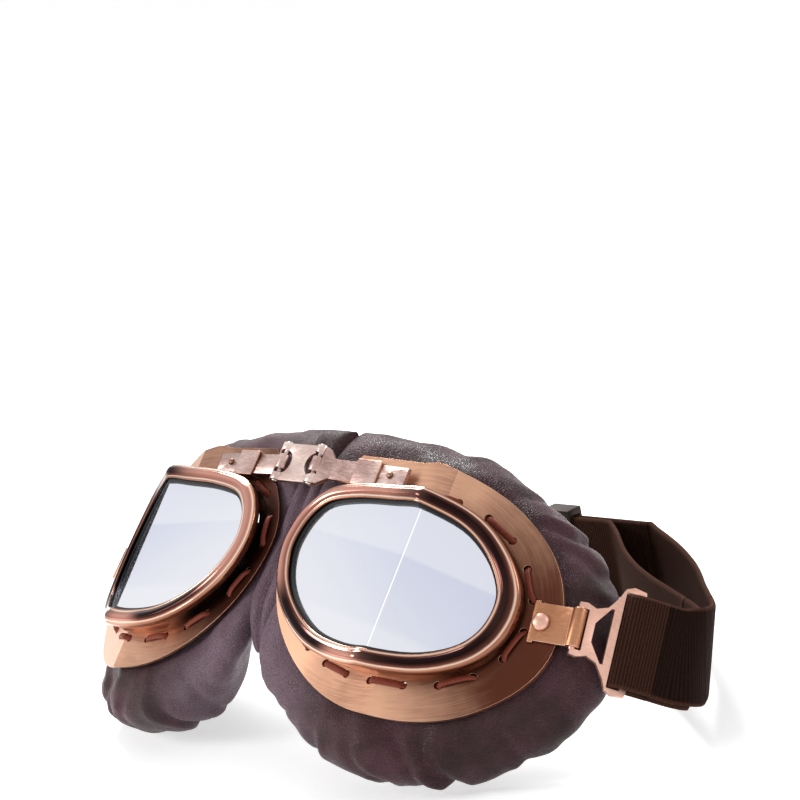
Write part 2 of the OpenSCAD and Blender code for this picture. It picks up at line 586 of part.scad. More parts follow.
bridge_link();
left() hinge_pin();  // hinge_pin_l
right() hinge_pin();  // hinge_pin_r
left() arm();  // arm_l
right() arm();  // arm_r
left() arm_stop();  // arm_stop_l
right() arm_stop();  // arm_stop_r
left() sleeve();  // sleeve_l
right() sleeve();  // sleeve_r
left() flange();  // flange_l
right() flange();  // flange_r
left() housing();  // housing_l
right() housing();  // housing_r
left() rim();  // rim_l
right() rim();  // rim_r
left() gasket();  // gasket_l
right() gasket();  // gasket_r
left() lens();  // lens_l
right() lens();  // lens_r
left() lace();  // lace_l
right() lace();  // lace_r
left() tab_rivet();  // tab_rivet_l
right() tab_rivet();  // tab_rivet_r
left() tab();  // tab_l
right() tab();  // tab_r
left() strap_loop();  // strap_loop_l
right() strap_loop();  // strap_loop_r
left() pad();  // pad_l
right() pad();  // pad_r
left() lining();  // lining_l
right() lining();  // lining_r
nose_piece();
left() strap_end(leg_len + fold_spare);  // strap_end_l
right() strap_end(leg_len);  // strap_end_r
color("#35241f") mirror([1, 0, 0])  // strap_side_l
    band(outer_route, bar_axis, [0, 0, 1]);
color("#35241f") band(outer_route, bar_axis, [0, 0, 1]);  // strap_side_r
color("#35241f") band(inner_route, bar_axis, [0, 0, 1]);  // strap_inner
strap_rear();
slider();
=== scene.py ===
# %% [markdown]
# # Flying goggles in copper and leather
#
# The packed CAD model is the skeleton of this scene. Each step dresses one of its
# pieces: metal gets softened edges and a finish, leather and elastic are made again
# as soft goods. Lengths are in millimetres, in an upright frame: X across the face,
# +Y towards the face, Z up. The goggles lie leaned back, so one function turns
# upright points into the scene.

# %% Load the packed frame
import json
import math

import bpy
import bmesh
import numpy as np
from mathutils import Matrix, Vector, noise


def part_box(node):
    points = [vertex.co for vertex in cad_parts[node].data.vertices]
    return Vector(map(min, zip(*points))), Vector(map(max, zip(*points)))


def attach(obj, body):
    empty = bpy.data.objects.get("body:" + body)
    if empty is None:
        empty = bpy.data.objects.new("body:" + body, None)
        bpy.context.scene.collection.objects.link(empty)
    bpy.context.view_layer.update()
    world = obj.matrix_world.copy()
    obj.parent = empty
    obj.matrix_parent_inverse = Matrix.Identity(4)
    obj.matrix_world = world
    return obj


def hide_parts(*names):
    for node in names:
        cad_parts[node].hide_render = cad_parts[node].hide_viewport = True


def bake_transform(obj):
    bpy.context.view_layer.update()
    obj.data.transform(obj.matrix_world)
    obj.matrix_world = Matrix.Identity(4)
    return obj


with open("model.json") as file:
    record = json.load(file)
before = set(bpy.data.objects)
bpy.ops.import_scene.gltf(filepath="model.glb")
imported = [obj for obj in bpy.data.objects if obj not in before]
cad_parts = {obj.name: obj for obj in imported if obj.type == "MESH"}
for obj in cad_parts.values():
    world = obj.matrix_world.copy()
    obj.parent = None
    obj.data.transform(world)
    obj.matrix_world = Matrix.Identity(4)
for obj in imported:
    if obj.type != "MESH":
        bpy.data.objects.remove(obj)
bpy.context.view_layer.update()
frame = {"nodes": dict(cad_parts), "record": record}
scene = bpy.context.scene

# %% [markdown]
# ## The upright frame
#
# The right-hand hinge pin is a plain cylinder, so the middle of its box is the
# middle of the pin. Its place in the upright frame is known too, and the
# difference between the two is the shift that sets the leaned goggles on the table.

# %% From upright millimetres to the scene
MM = 0.001
LEAN = math.radians(44)
PIN = (7.2, -19.4, 29.5)


def turned(points):
    p = np.atleast_2d(np.asarray(points, float)) * MM
    c, s = math.cos(LEAN), math.sin(LEAN)
    return np.stack([p[:, 0], p[:, 1] * c + p[:, 2] * s, p[:, 2] * c - p[:, 1] * s], 1)


pin_low, pin_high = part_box("hinge_pin_r")
SHIFT = np.array((pin_low + pin_high) / 2) - turned(PIN)[0]


def leaned(points, side=1):
    placed = turned(points) + SHIFT
    placed[:, 0] *= side
    return placed


print("shift:", np.round(SHIFT / MM, 2), "mm")

# %% [markdown]
# ## Camera
#
# The three-quarter view looks at the goggles from the wearer's left. Its angles are
# those of the upright frame: a little below the goggles' own level, which is above
# the table once they lean back. They sit low in the picture, so the camera is aimed
# a little off them.

# %% Camera
AZIMUTH, ELEVATION, ROLL = (math.radians(a) for a in (50.0, -12.2, 22.1))
DISTANCE = 715.8
FOCAL_PX, FRAME_PX = 2523.9, 800
CENTRE_PX = (306.3, 587.6)

back = Vector((math.sin(AZIMUTH) * math.cos(ELEVATION),
               -math.cos(AZIMUTH) * math.cos(ELEVATION),
               math.sin(ELEVATION)))
level = Vector((math.cos(AZIMUTH), math.sin(AZIMUTH), 0))
right = Matrix.Rotation(ROLL, 3, back) @ level
up = back.cross(right)
aim = (right * (FRAME_PX / 2 - CENTRE_PX[0]) + up * (CENTRE_PX[1] - FRAME_PX / 2)) / FOCAL_PX - back
swing = (-back).rotation_difference(aim.normalized()).to_matrix()
axes = [Vector(turned(swing @ v)[0] / MM).normalized() for v in (right, up, back)]


def new_object(name, data):
    made = bpy.data.objects.new(name, data)
    scene.collection.objects.link(made)
    return made


camera = new_object("camera", bpy.data.cameras.new("camera"))
camera.matrix_world = (Matrix.Translation(Vector(leaned(back * DISTANCE)[0]))
                       @ Matrix(axes).transposed().to_4x4())
camera.data.sensor_width = 36
camera.data.lens = camera.data.sensor_width * FOCAL_PX / FRAME_PX
camera.data.clip_start, camera.data.clip_end = 0.05, 50
bpy.context.scene.camera = camera
print("camera at", [round(v, 3) for v in camera.matrix_world.translation])

# %% [markdown]
# ## A shorthand for shaders
#
# A finish is a tree of nodes, and wiring it line by line is hard to read. Here a
# small class wraps a node's output, and a sum or a product of two of them adds
# the Math node. Every other node comes from one method.

# %% A node's output that can be added and multiplied


class Wire:
    """A node's output. Sums and products with it add Math nodes."""

    def __init__(self, tree, socket):
        self.tree, self.socket = tree, socket

    def maths(self, operation, other=None):
        inputs = {0: self} if other is None else {0: self, 1: other}
        return self.tree.node("Math", {"operation": operation}, inputs)

    def maths_after(self, operation, other):
        """The same with the other value first, as in 1 - mask."""
        return self.tree.node("Math", {"operation": operation}, {0: other, 1: self})

    def __add__(self, other):
        return self.maths("ADD", other)

    def __mul__(self, other):
        return self.maths("MULTIPLY", other)

    def __sub__(self, other):
        return self.maths("SUBTRACT", other)

    def __truediv__(self, other):
        return self.maths("DIVIDE", other)

    def __rsub__(self, other):
        return self.maths_after("SUBTRACT", other)

    def __rtruediv__(self, other):
        return self.maths_after("DIVIDE", other)

    __radd__, __rmul__ = __add__, __mul__


print("a wire takes + - * and / with numbers or wires")

# %% A tree of nodes, and a material with its finish


class Tree:
    """The nodes of a material or of the world."""

    def __init__(self, owner):
        owner.use_nodes = True
        self.data = owner.node_tree

    def node(self, kind, settings=None, inputs=None, output=0):
        made = self.data.nodes.new("ShaderNode" + kind)
        for key, value in (settings or {}).items():
            if key == "stops":
                ramp = made.color_ramp
                while len(ramp.elements) < len(value):
                    ramp.elements.new(0.5)
                for element, (place, colour) in zip(ramp.elements, value):
                    element.position, element.color = place, (*colour, 1)
            else:
                setattr(made, key, value)
        for key, value in (inputs or {}).items():
            if isinstance(value, Wire):
                self.data.links.new(value.socket, made.inputs[key])
            else:
                made.inputs[key].default_value = value
        return Wire(self, made.outputs[output])

    def ray(self, kind):
        """1 on light paths of that kind, such as those from the camera."""
        return self.node("LightPath", output=f"Is {kind} Ray")


class Finish(Tree):
    """A material: constants go on the shader, wires feed what varies."""

    def __init__(self, name, **constants):
        self.material = bpy.data.materials.new(name)
        super().__init__(self.material)
        self.shader = self.data.nodes["Principled BSDF"]
        for key, value in constants.items():
            socket = key.replace("_", " ").title().replace("Ior", "IOR")
            self.shader.inputs[socket].default_value = value

    def feed(self, socket, wire):
        self.data.links.new(wire.socket, self.shader.inputs[socket])

    def upright(self):
        """The point in the upright frame, in millimetres."""
        unturned = Matrix.Rotation(LEAN, 3, "X") @ Vector(SHIFT)
        return self.node("Mapping", {}, {
            "Vector": self.node("TexCoord", output="Object"), "Location": -unturned / MM,
            "Rotation": (LEAN, 0, 0), "Scale": (1 / MM,) * 3})

    def kept(self, name):
        """A number that is kept on the mesh."""
        return self.node("Attribute", {"attribute_name": name}, output="Fac")

    def parts(self, vector):
        split = self.node("SeparateXYZ", {}, {0: vector})
        return [Wire(self, o) for o in split.socket.node.outputs]

    def joined(self, x, y, z):
        return self.node("CombineXYZ", {}, {0: x, 1: y, 2: z})

    def noise(self, scale, detail=2.0, roughness=0.5, vector=None):
        """Noise of the upright point, or of another vector."""
        return self.node("TexNoise", {}, {
            "Vector": vector or self.upright(), "Scale": scale, "Detail": detail,
            "Roughness": roughness})

    def ramp(self, value, *stops):
        return self.node("ValToRGB", {"stops": stops}, {0: value})

    def greys(self, value, levels):
        return self.ramp(value, *((place, (level,) * 3) for place, level in levels))

    def span(self, value, low, high):
        """0 at low and 1 at high, with a soft run between."""
        return self.node("MapRange", {"interpolation_type": "SMOOTHSTEP"}, {
            "Value": value, "From Min": low, "From Max": high})

    def mix(self, factor, a, b):
        return self.node("Mix", {"data_type": "RGBA"}, {0: factor, 6: a, 7: b}, output=2)

    def bump(self, height, distance):
        self.feed("Normal", self.node("Bump", {}, {
            "Strength": 1.0, "Height": height, "Distance": distance}))


def rgb(red, green, blue):
    """A screen colour, as the shader's linear values."""
    return tuple(c / 12.92 if c <= 0.04045 else ((c + 0.055) / 1.055) ** 2.4
                 for c in (v / 255 for v in (red, green, blue)))


def colour(*values):
    return (*rgb(*values), 1)


print("a finish knows:", ", ".join(name for name in vars(Finish) if name[0] != "_"))

# %% [markdown]
# ## Studio
#
# A pale floor and a white world give the plain background. The floor glows only
# for the camera and in reflections, and only there is the world at full white. The
# light on the goggles is lower, so that dark leather stays dark. Three large soft
# lamps give the leather its sheen and the rims their bright lines.

# %% Floor, world and lamps
FLOOR_REACH, FLOOR_GLOW = 9, 0.5
WORLD_LIGHT = 0.5
LAMP_AIM = Vector((0, 0, 0.04))


def studio_floor():
    finish = Finish("studio_floor", roughness=0.9, base_color=(0.9, 0.9, 0.9, 1))
    shown = finish.ray("Glossy") + finish.ray("Camera")
    finish.shader.inputs["Emission Strength"].default_value = FLOOR_GLOW
    finish.feed("Emission Color", finish.mix(shown, (0, 0, 0, 1), (1, 1, 1, 1)))
    mesh = bpy.data.meshes.new("studio_floor")
    corners = [(-1, -1), (1, -1), (1, 1), (-1, 1)]
    mesh.from_pydata([(x * FLOOR_REACH, y * FLOOR_REACH, 0) for x, y in corners], [], [(0, 1, 2, 3)])
    mesh.materials.append(finish.material)
    new_object("studio_floor", mesh)


def studio_world():
    world = bpy.data.worlds.new("studio_white")
    scene.world = world
    sky = Tree(world)
    shown = sky.ray("Camera") + sky.ray("Glossy") + sky.ray("Transmission")
    level = sky.node("MapRange", {"clamp": True}, {"Value": shown, "To Min": WORLD_LIGHT})
    background = sky.data.nodes["Background"]
    background.inputs["Color"].default_value = (1, 1, 1, 1)
    sky.data.links.new(level.socket, background.inputs["Strength"])


def lamp(name, place, size, watts):
    data = bpy.data.lights.new(name, "AREA")
    data.energy, data.shape, data.size, data.size_y = watts, "RECTANGLE", size, size
    made = new_object(name, data)
    made.location = place
    made.rotation_euler = (LAMP_AIM - Vector(place)).to_track_quat("-Z", "Y").to_euler()


scene.view_settings.view_transform = "Standard"
studio_floor()
studio_world()
lamp("key_lamp", (-0.6, 0.4, 0.85), 0.4, 13)
lamp("left_lamp", (-0.6, -1.0, 0.6), 0.45, 7)
lamp("side_lamp", (0.9, 0.6, 0.7), 0.4, 3)
print("studio:", len(bpy.data.lights), "lamps")

# %% [markdown]
# ## Outlines
#
# Everything round a lens follows three outlines seen from the front: the rim,
# the flange plate and the leather. They pass through a few measured points on a
# smooth curve. The rim and the flange are bent along an upright fold line, so
# their depth depends only on the sideways place.

# %% Outlines and depths
CREASE = 54.0
RIM_Y, RIM_BEND = -21.0, math.radians(33)
FLANGE_Y, FLANGE_IN, FLANGE_OUT, FLANGE_T = -11.4, math.radians(4.5), math.radians(26), 0.9
EYE = np.array([46.0, 0.0])

rim_points = [(44, 25.6), (CREASE, 25.6), (67, 22.8), (76, 16.4), (81.8, 7.8), (83.3, -0.5),
              (81.4, -9.6), (76, -17.2), (66.5, -23), (CREASE, -25.7), (43, -25.4), (31.5, -22.6),
              (21, -16.6), (13, -8.8), (8.6, 0), (7.9, 8), (11, 16.6), (18, 22.8), (30, 25.2)]
flange_points = [(42, 35.9), (CREASE, 34.8), (66, 31.6), (76, 26.4), (84.6, 18.8), (90, 9.6),
                 (92.3, -1), (91.3, -10.6), (86.4, -19.8), (77, -28.8), (66, -34), (CREASE, -35.8),
                 (42, -34.4), (31, -30.4), (20, -23.4), (10.6, -13.8), (4.8, -3), (2.9, 7),
                 (4.8, 14.6), (9.6, 21.6), (15.6, 26)]
pad_points = [(5.5, 46), (18, 48), (46, 45.6), (63, 40.6), (76, 34.6), (87, 26), (95, 14.5),
              (98.8, 1), (98, -13), (93, -27), (82.5, -38.6), (68.5, -46.4), (54, -49.4),
              (40, -48.6), (26, -43.6), (13, -35.2), (4.6, -27.6), (2.6, -12), (2.6, 8),
              (2.6, 28), (3.4, 39)]


def curve(points, steps, closed=True):
    """A smooth curve through the points."""
    p = np.array(points, float)
    n = len(p)
    t = np.arange(steps)[:, None] / steps
    runs = []
    for i in range(n if closed else n - 1):
        near = (i - 1, i, i + 1, i + 2)
        a, b, c, d = (p[k % n] if closed else p[min(max(k, 0), n - 1)] for k in near)
        runs.append(0.5 * (2 * b + (c - a) * t + (2 * a - 5 * b + 4 * c - d) * t ** 2
                           + (3 * b - a - 3 * c + d) * t ** 3))
    return np.concatenate(runs if closed else runs + [p[-1:]])


def unit(vectors):
    return vectors / np.linalg.norm(vectors, axis=1)[:, None]


def inset(line, distance):
    """The closed outline moved inwards."""
    run = unit(np.roll(line, -1, 0) - np.roll(line, 1, 0))
    return line + distance * np.stack([run[:, 1], -run[:, 0]], 1)


def rim_depth(x):
    return RIM_Y + np.maximum(0, x - CREASE) * math.tan(RIM_BEND)


def flange_depth(x):
    return FLANGE_Y + (x - CREASE) * np.where(x < CREASE, math.tan(FLANGE_IN), math.tan(FLANGE_OUT))


rim_line = curve(rim_points, 8)
flange_line = curve(flange_points, 6)
print("outlines:", len(rim_line), "and", len(flange_line), "points")

# %% [markdown]
# ## Making a mesh
#
# Most made pieces are a row of rings joined by faces. Each is drawn once, for the
# wearer's left, and mirrored. Some keep numbers on their vertices, such as how far
# along or across a point lies, and the finishes use them for weave, lips and
# stitches.

# %% Pieces from rings
BODY = {node: body for body, nodes in frame["record"]["behaviour"]["bodies"].items() for node in nodes}


def add_piece(name, points, faces, finish, body, stands_for=(), attributes=None, smooth=40):
    mesh = bpy.data.meshes.new(name)
    mesh.from_pydata([tuple(p) for p in points], [], [tuple(f) for f in faces])
    for key, values in (attributes or {}).items():
        layer = mesh.attributes.new(key, "FLOAT", "POINT")
        layer.data.foreach_set("value", np.asarray(values, np.float32))
    mesh.materials.append(finish.material)
    piece = new_object(name, mesh)
    mesh.polygons.foreach_set("use_smooth", [True] * len(mesh.polygons))
    if smooth < 180:
        mesh.set_sharp_from_angle(angle=math.radians(smooth))
    if body:
        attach(piece, body)
    if stands_for:
        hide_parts(*stands_for)
    return piece


def ring_faces(rings, sides, closed, flip=False):
    """Faces between neighbouring rings, with an end cap each where the row is open."""
    faces = []
    for i in range(rings if closed else rings - 1):
        a, b = i * sides, (i + 1) % rings * sides
        faces += [(a + k, b + k, b + (k + 1) % sides, a + (k + 1) % sides) for k in range(sides)]
    if not closed:
        faces += [tuple(range(sides))[::-1], tuple((rings - 1) * sides + k for k in range(sides))]
    return [f[::-1] for f in faces] if flip else faces


SIDES = {"r": 1, "l": -1}


def both_sides(name, rings, finish, node, kept=None, smooth=40):
    """A closed row of rings on each half, in the place of a CAD node."""
    for tail, side in SIDES.items():
        faces = ring_faces(len(rings), rings.shape[1], True, side < 0)
        add_piece(name + tail, leaned(rings.reshape(-1, 3), side), faces, finish, BODY[node + tail],
                  [node + tail], kept, smooth)
    print(name.rstrip("_") + ":", len(rings), "rings of", rings.shape[1])


# %% [markdown]
# ## Copper finishes
#
# The metal is copper-plated steel. Its edges get a brighter finish, partly edge
# wear and partly a painted highlight. Brush marks are noise, squeezed across the
# stroke and stretched along it. On the flange the stroke goes round the lens, so
# the noise is looked up by the distance from the eye and the angle round it.
# Flange and housing follow a row of painted light and shade round the eye, one for
# each half, so the two halves are lit differently. The real plate curves softly
# where this one is folded, so painted shade and painted light beside the fold even
# out its shading.

# %% Brushed and satin copper
OVAL, BRUSH_DEPTH = 0.62, 0.03
# The reach and strength of the painted shade and painted light beside the fold.
FOLD_SHADING_REACH, FOLD_PAINTED_SHADING = 16.0, 0.17


def brushed(name, dark, bright, roughness, round_eye=True, strokes=2.4, light_sectors=None):
    finish = Finish(name, metallic=1.0)
    x, y, z = finish.parts(finish.upright())
    if round_eye:
        across = x.maths("ABSOLUTE") - float(EYE[0])
        radius = (across * across * OVAL + z * z).maths("SQRT")
        angle = z.maths("ARCTAN2", across)
        marks = finish.joined(radius * strokes, angle * 2.5, y * 0.2)
    else:
        marks = finish.joined(x * 0.5, y * 0.5, z * strokes)
    stroke = finish.noise(1.0, 4.0, 0.65, marks)
    patch = finish.noise(0.055, 3.0, 0.6)
    tone = stroke * 0.45 + patch * 0.6
    # The rows are painted light and shade round the eye, with the far and near halves lit differently.
    if light_sectors:
        share = angle / (2 * math.pi) + 0.5
        far, near = (finish.greys(share, levels) for levels in light_sectors)
        tone = tone * 0.5 + finish.mix(finish.span(x, -1.0, 1.0), far, near) - 0.05
        # Beside the fold, painted shade on the inner side and painted light on the outer side even out
        # its shading.
        fold = x.maths("ABSOLUTE") - CREASE
        beside = finish.span(fold.maths("ABSOLUTE"), FOLD_SHADING_REACH, 0.0)
        tone = tone + beside * (finish.span(fold, -0.01, 0.01) - 0.5) * FOLD_PAINTED_SHADING
    shade = finish.span(tone, 0.25, 0.9)
    finish.feed("Base Color", finish.mix(shade, colour(*dark), colour(*bright)))
    finish.feed("Roughness", stroke * 0.22 + roughness)
    finish.bump(stroke, BRUSH_DEPTH * MM)
    return finish


# Rows of painted light and shade round the eye, for the far and near flange and for both housings.
far_flange_light = [(0.0, 0.0), (0.08, 0.1), (0.16, 0.35), (0.25, 0.45), (0.36, 0.75), (0.5, 0.5),
              (0.75, 0.35), (0.93, 0.0)]
near_flange_light = [(0.0, 0.5), (0.1, 0.85), (0.17, 0.5), (0.24, 0.38), (0.3, 0.52), (0.36, 0.3),
               (0.42, 0.05), (0.5, 0.0), (0.62, 0.3), (0.72, 0.45), (0.9, 0.45)]
housing_light = [(0.0, 0.0), (0.1, 0.05), (0.2, 0.6), (0.35, 0.5), (0.5, 0.25), (0.7, 0.35),
                (0.86, 0.2), (0.93, 0.0)]
flange_copper = brushed("flange_copper", (84, 46, 34), (222, 172, 142), 0.26,
                        light_sectors=(far_flange_light, near_flange_light))
housing_copper = brushed("housing_copper", (26, 20, 19), (196, 132, 98), 0.28, strokes=1.0,
                         light_sectors=(housing_light, housing_light))
# Edges are painted brighter: partly edge wear, partly a painted highlight.
edge_wear_and_highlight = brushed("edge_wear_and_highlight", (176, 122, 96), (240, 204, 180), 0.2)


def straight(*look, strokes=2.4):
    return brushed(*look, round_eye=False, strokes=strokes)


tab_copper = straight("tab_copper", (138, 88, 62), (206, 152, 116), 0.28, strokes=5.0)
bridge_copper = straight("bridge_copper", (176, 140, 130), (252, 236, 228), 0.2, strokes=4.0)
arm_copper = straight("arm_copper", (128, 92, 88), (252, 224, 214), 0.22, strokes=4.0)
loop_copper = straight("loop_copper", (192, 146, 128), (238, 196, 178), 0.34, strokes=3.0)
dark_rivet = straight("dark_rivet", (80, 56, 46), (170, 130, 108), 0.3)
pin_steel = straight("pin_steel", (120, 100, 96), (240, 228, 222), 0.16)
brown_enamel = straight("brown_enamel", (30, 20, 16), (52, 36, 29), 0.4)
brown_enamel.shader.inputs["Metallic"].default_value = 0.6
print("finishes:", len(bpy.data.materials))

# %% [markdown]
# ## Metal parts
#
# Real stamped metal has a small round along each edge, which catches the light.
# The CAD solids are sharp. Each one is copied, its flat areas are joined into
# single faces, and a bevel modifier rounds the edges; the faces that the bevel
# makes get the brighter edge finish, partly edge wear and partly a painted highlight.

# %% Softened copies of the CAD solids


def modifier(piece, kind, **settings):
    made = piece.modifiers.new(kind.lower(), kind)
    for key, value in settings.items():
        setattr(made, key, value)
    return made


def dressed(node, width, finish, edge=None, segments=2, angle=28, flat=False):
    """A copy of the CAD solid with rounded edges, in a finish of their own if one is given."""
    source = frame["nodes"][node]
    mesh = source.data.copy()
    mesh.name = node + "_dressed"
    shape = bmesh.new()
    shape.from_mesh(mesh)
    shape.transform(source.matrix_world)
    bmesh.ops.remove_doubles(shape, verts=shape.verts, dist=2e-6)
    bmesh.ops.dissolve_limit(shape, angle_limit=math.radians(1), verts=shape.verts, edges=shape.edges)
    shape.to_mesh(mesh)
    shape.free()
    mesh.materials.clear()
    for each in (finish, edge or finish):
        mesh.materials.append(each.material)
    mesh.polygons.foreach_set("material_index", [0] * len(mesh.polygons))
    mesh.polygons.foreach_set("use_smooth", [not flat] * len(mesh.polygons))
    piece = new_object(node + "_dressed", mesh)
    modifier(piece, "BEVEL", width=width * MM, segments=segments, limit_method="ANGLE",
             angle_limit=math.radians(angle), material=1, harden_normals=True)
    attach(piece, BODY[node])
    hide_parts(node)


dressed("bridge_link", 0.18, bridge_copper, edge_wear_and_highlight)
dressed("slider", 0.35, brown_enamel)
for tail in SIDES:
    dressed("hinge_pin_" + tail, 0.1, pin_steel)
    dressed("arm_" + tail, 0.15, arm_copper, edge_wear_and_highlight)
    dressed("arm_stop_" + tail, 0.08, dark_rivet)
    dressed("sleeve_" + tail, 0.22, arm_copper, edge_wear_and_highlight)
    dressed("flange_" + tail, 0.16, flange_copper, edge_wear_and_highlight, flat=True)
    dressed("housing_" + tail, 0.1, housing_copper)
    dressed("tab_" + tail, 0.18, tab_copper, edge_wear_and_highlight)
    dressed("tab_rivet_" + tail, 0.1, loop_copper)
    dressed("strap_loop_" + tail, 0.35, loop_copper, edge_wear_and_highlight, 3)

# %% [markdown]
# ## Rims
#
# The rim is a rolled and polished ring with two lips, a thin one outside and one
# at the gasket. One profile is carried round the outline. Where a point lies across
# it is kept on the mesh, and the finish reads it: painted reflections make it almost
# black on the round of the roll and bright on both lips. A second row of tones,
# round the outline, paints where the roll reflects dark and where it reflects pale.

# %% Polished rims
RIM_PROFILE = [(0.0, 2.6), (0.0, 1.5), (0.05, 0.9), (0.22, 0.55), (0.5, 0.42), (0.75, 0.3),
               (1.0, -0.02), (1.45, -0.42), (2.1, -0.62), (2.8, -0.55), (3.35, -0.25), (3.7, 0.08),
               (3.9, 0.16), (4.1, 0.08), (4.4, 0.04), (4.62, 0.22), (4.7, 0.55), (4.7, 1.2),
               (1.0, 1.2), (1.0, 2.6)]
# Painted reflections: the first row, round the outline, says where the roll looks pale; the two ramps
# across the profile paint a dark roll with bright lips.
RIM_REFLECTION_SECTORS = [(0.0, 0.9), (0.07, 0.35), (0.14, 0.0), (0.2, 0.25), (0.26, 1.0), (0.31, 0.3),
               (0.38, 0.1), (0.5, 0.2), (0.6, 0.2), (0.66, 0.05), (0.75, 0.5), (0.84, 1.0), (0.95, 0.95)]
RIM_DARK_REFLECTIONS = [(0.0, 96, 60, 46), (0.17, 150, 98, 76), (0.235, 240, 206, 184), (0.3, 96, 56, 46),
            (0.4, 30, 18, 18), (0.52, 46, 28, 28), (0.62, 112, 68, 54), (0.69, 236, 196, 172),
            (0.76, 128, 80, 62), (0.84, 30, 18, 16)]
RIM_PALE_REFLECTIONS = [(0.0, 120, 78, 58), (0.17, 190, 134, 106), (0.235, 248, 220, 200), (0.32, 178, 122, 108),
            (0.44, 206, 150, 134), (0.55, 140, 84, 70), (0.66, 250, 226, 210), (0.74, 176, 118, 92),
            (0.84, 40, 24, 20)]


def polished_rim():
    finish = Finish("polished_rim", metallic=1.0)
    smudge = finish.noise(0.12, 4.0, 0.6)
    along = finish.noise(0.035, 2.0)
    x, _, z = finish.parts(finish.upright())
    share = z.maths("ARCTAN2", x.maths("ABSOLUTE") - float(EYE[0])) / (2 * math.pi) + 0.5
    # Painted reflections round the outline and across the profile.
    light = finish.greys(share, RIM_REFLECTION_SECTORS)
    place = finish.kept("across") + (smudge - 0.5) * 0.05
    dark, pale = (finish.ramp(place, *((at, rgb(*shade)) for at, *shade in row))
                  for row in (RIM_DARK_REFLECTIONS, RIM_PALE_REFLECTIONS))
    reflection_paleness = finish.span(light + (along - 0.5) * 0.9, 0.2, 0.85)
    finish.feed("Base Color", finish.mix(reflection_paleness, dark, pale))
    finish.feed("Roughness", smudge * 0.14 + 0.08)
    finish.bump(smudge, 0.02 * MM)
    return finish


rim_finish = polished_rim()
across_rim = np.linspace(0, 1, len(RIM_PROFILE))
rings = []
for reach, depth in RIM_PROFILE:
    line = inset(rim_line, reach)
    rings.append(np.stack([line[:, 0], rim_depth(line[:, 0]) + depth, line[:, 1]], 1))
both_sides("rim_roll_", np.stack(rings, 1), rim_finish, "rim_",
           {"across": np.tile(across_rim, len(rim_line))}, smooth=60)

# %% [markdown]
# ## Gaskets and lenses
#
# A black rubber ring shows inside each rim. The lens is flat glass in two panes
# that meet at an upright fold, coated silver: a mirror with a cool tint, paler
# towards its top and bottom, with a bright line where the fold is ground.

# %% Black gasket and silvered lens


def matte_rubber():
    finish = Finish("black_rubber", specular_ior_level=0.35)
    speck = finish.noise(2.5, 3.0)
    finish.feed("Base Color", finish.mix(speck, colour(12, 12, 13), colour(34, 32, 33)))
    finish.feed("Roughness", speck * 0.3 + 0.4)
    finish.bump(speck, 0.02 * MM)
    return finish


def silvered_glass():
    finish = Finish("silvered_glass", metallic=0.9)
    x, _, z = finish.parts(finish.upright())
    side = x.maths("ABSOLUTE")
    level = z + side * 0.12
    upper = finish.span(level, 12.0, 13.5)
    lower = finish.span(level, -6.0, -9.0)
    cool = finish.span(z * 0.4 + side * 0.3, 2.0, 24.0)
    tint = finish.mix(cool, colour(232, 233, 240), colour(208, 212, 230))
    tint = finish.mix((upper + lower) * 0.45, tint, colour(240, 241, 245))
    fold = finish.span((side - CREASE).maths("ABSOLUTE"), 0.2, 0.1)
    finish.feed("Base Color", finish.mix(fold, tint, (1, 1, 1, 1)))
    finish.feed("Roughness", fold * 0.4 + 0.06)
    return finish


gasket_finish, lens_finish = matte_rubber(), silvered_glass()
for tail in SIDES:
    dressed("gasket_" + tail, 0.12, gasket_finish, angle=35)
    dressed("lens_" + tail, 0.08, lens_finish, segments=1, angle=60, flat=True)
print("gaskets and lenses:", 2 * len(SIDES), "pieces")

# %% [markdown]
# ## Lace
#
# A flat leather lace ties the pad to the flange. It comes up through one hole,
# lies on the front of the plate to the next hole, and goes behind to the one
# after. Four points for each stitch give its path, and a flat section that leans
# on the plate is carried along it.

# %% Laced stitches
LACE_HOLES, LACE_OUT, LACE_PHASE = 24, 0.9, 1.5
LACE_W, LACE_T, LACE_LIFT = 1.8, 1.0, 0.15


def length_run(points):
    """The length of the line up to each of its points."""
    return np.concatenate([[0], np.cumsum(np.linalg.norm(np.diff(points, axis=0), axis=1))])


def spread(line, count, phase):
    """Points at equal steps along a closed outline."""
    closed = np.vstack([line, line[:1]])
    run = length_run(closed)
    at = run[-1] * ((np.arange(count) + phase) % count) / count
    return np.stack([np.interp(at, run, closed[:, k]) for k in (0, 1)], 1)


def lace_leather():
    finish = Finish("lace_leather", specular_ior_level=0.3)
    grain = finish.noise(1.6, 4.0, 0.6)
    finish.feed("Base Color", finish.mix(grain, colour(66, 24, 17), colour(158, 72, 48)))
    finish.feed("Roughness", grain * 0.25 + 0.5)
    finish.bump(grain + finish.kept("across") * 0.2, 0.12 * MM)
    return finish


def flat_oval(angle):
    """A point on the section, as shares of half the width and half the thickness."""
    c = math.cos(angle)
    return (c * abs(c) ** -0.3 if abs(c) > 1e-6 else 0.0, math.sin(angle))


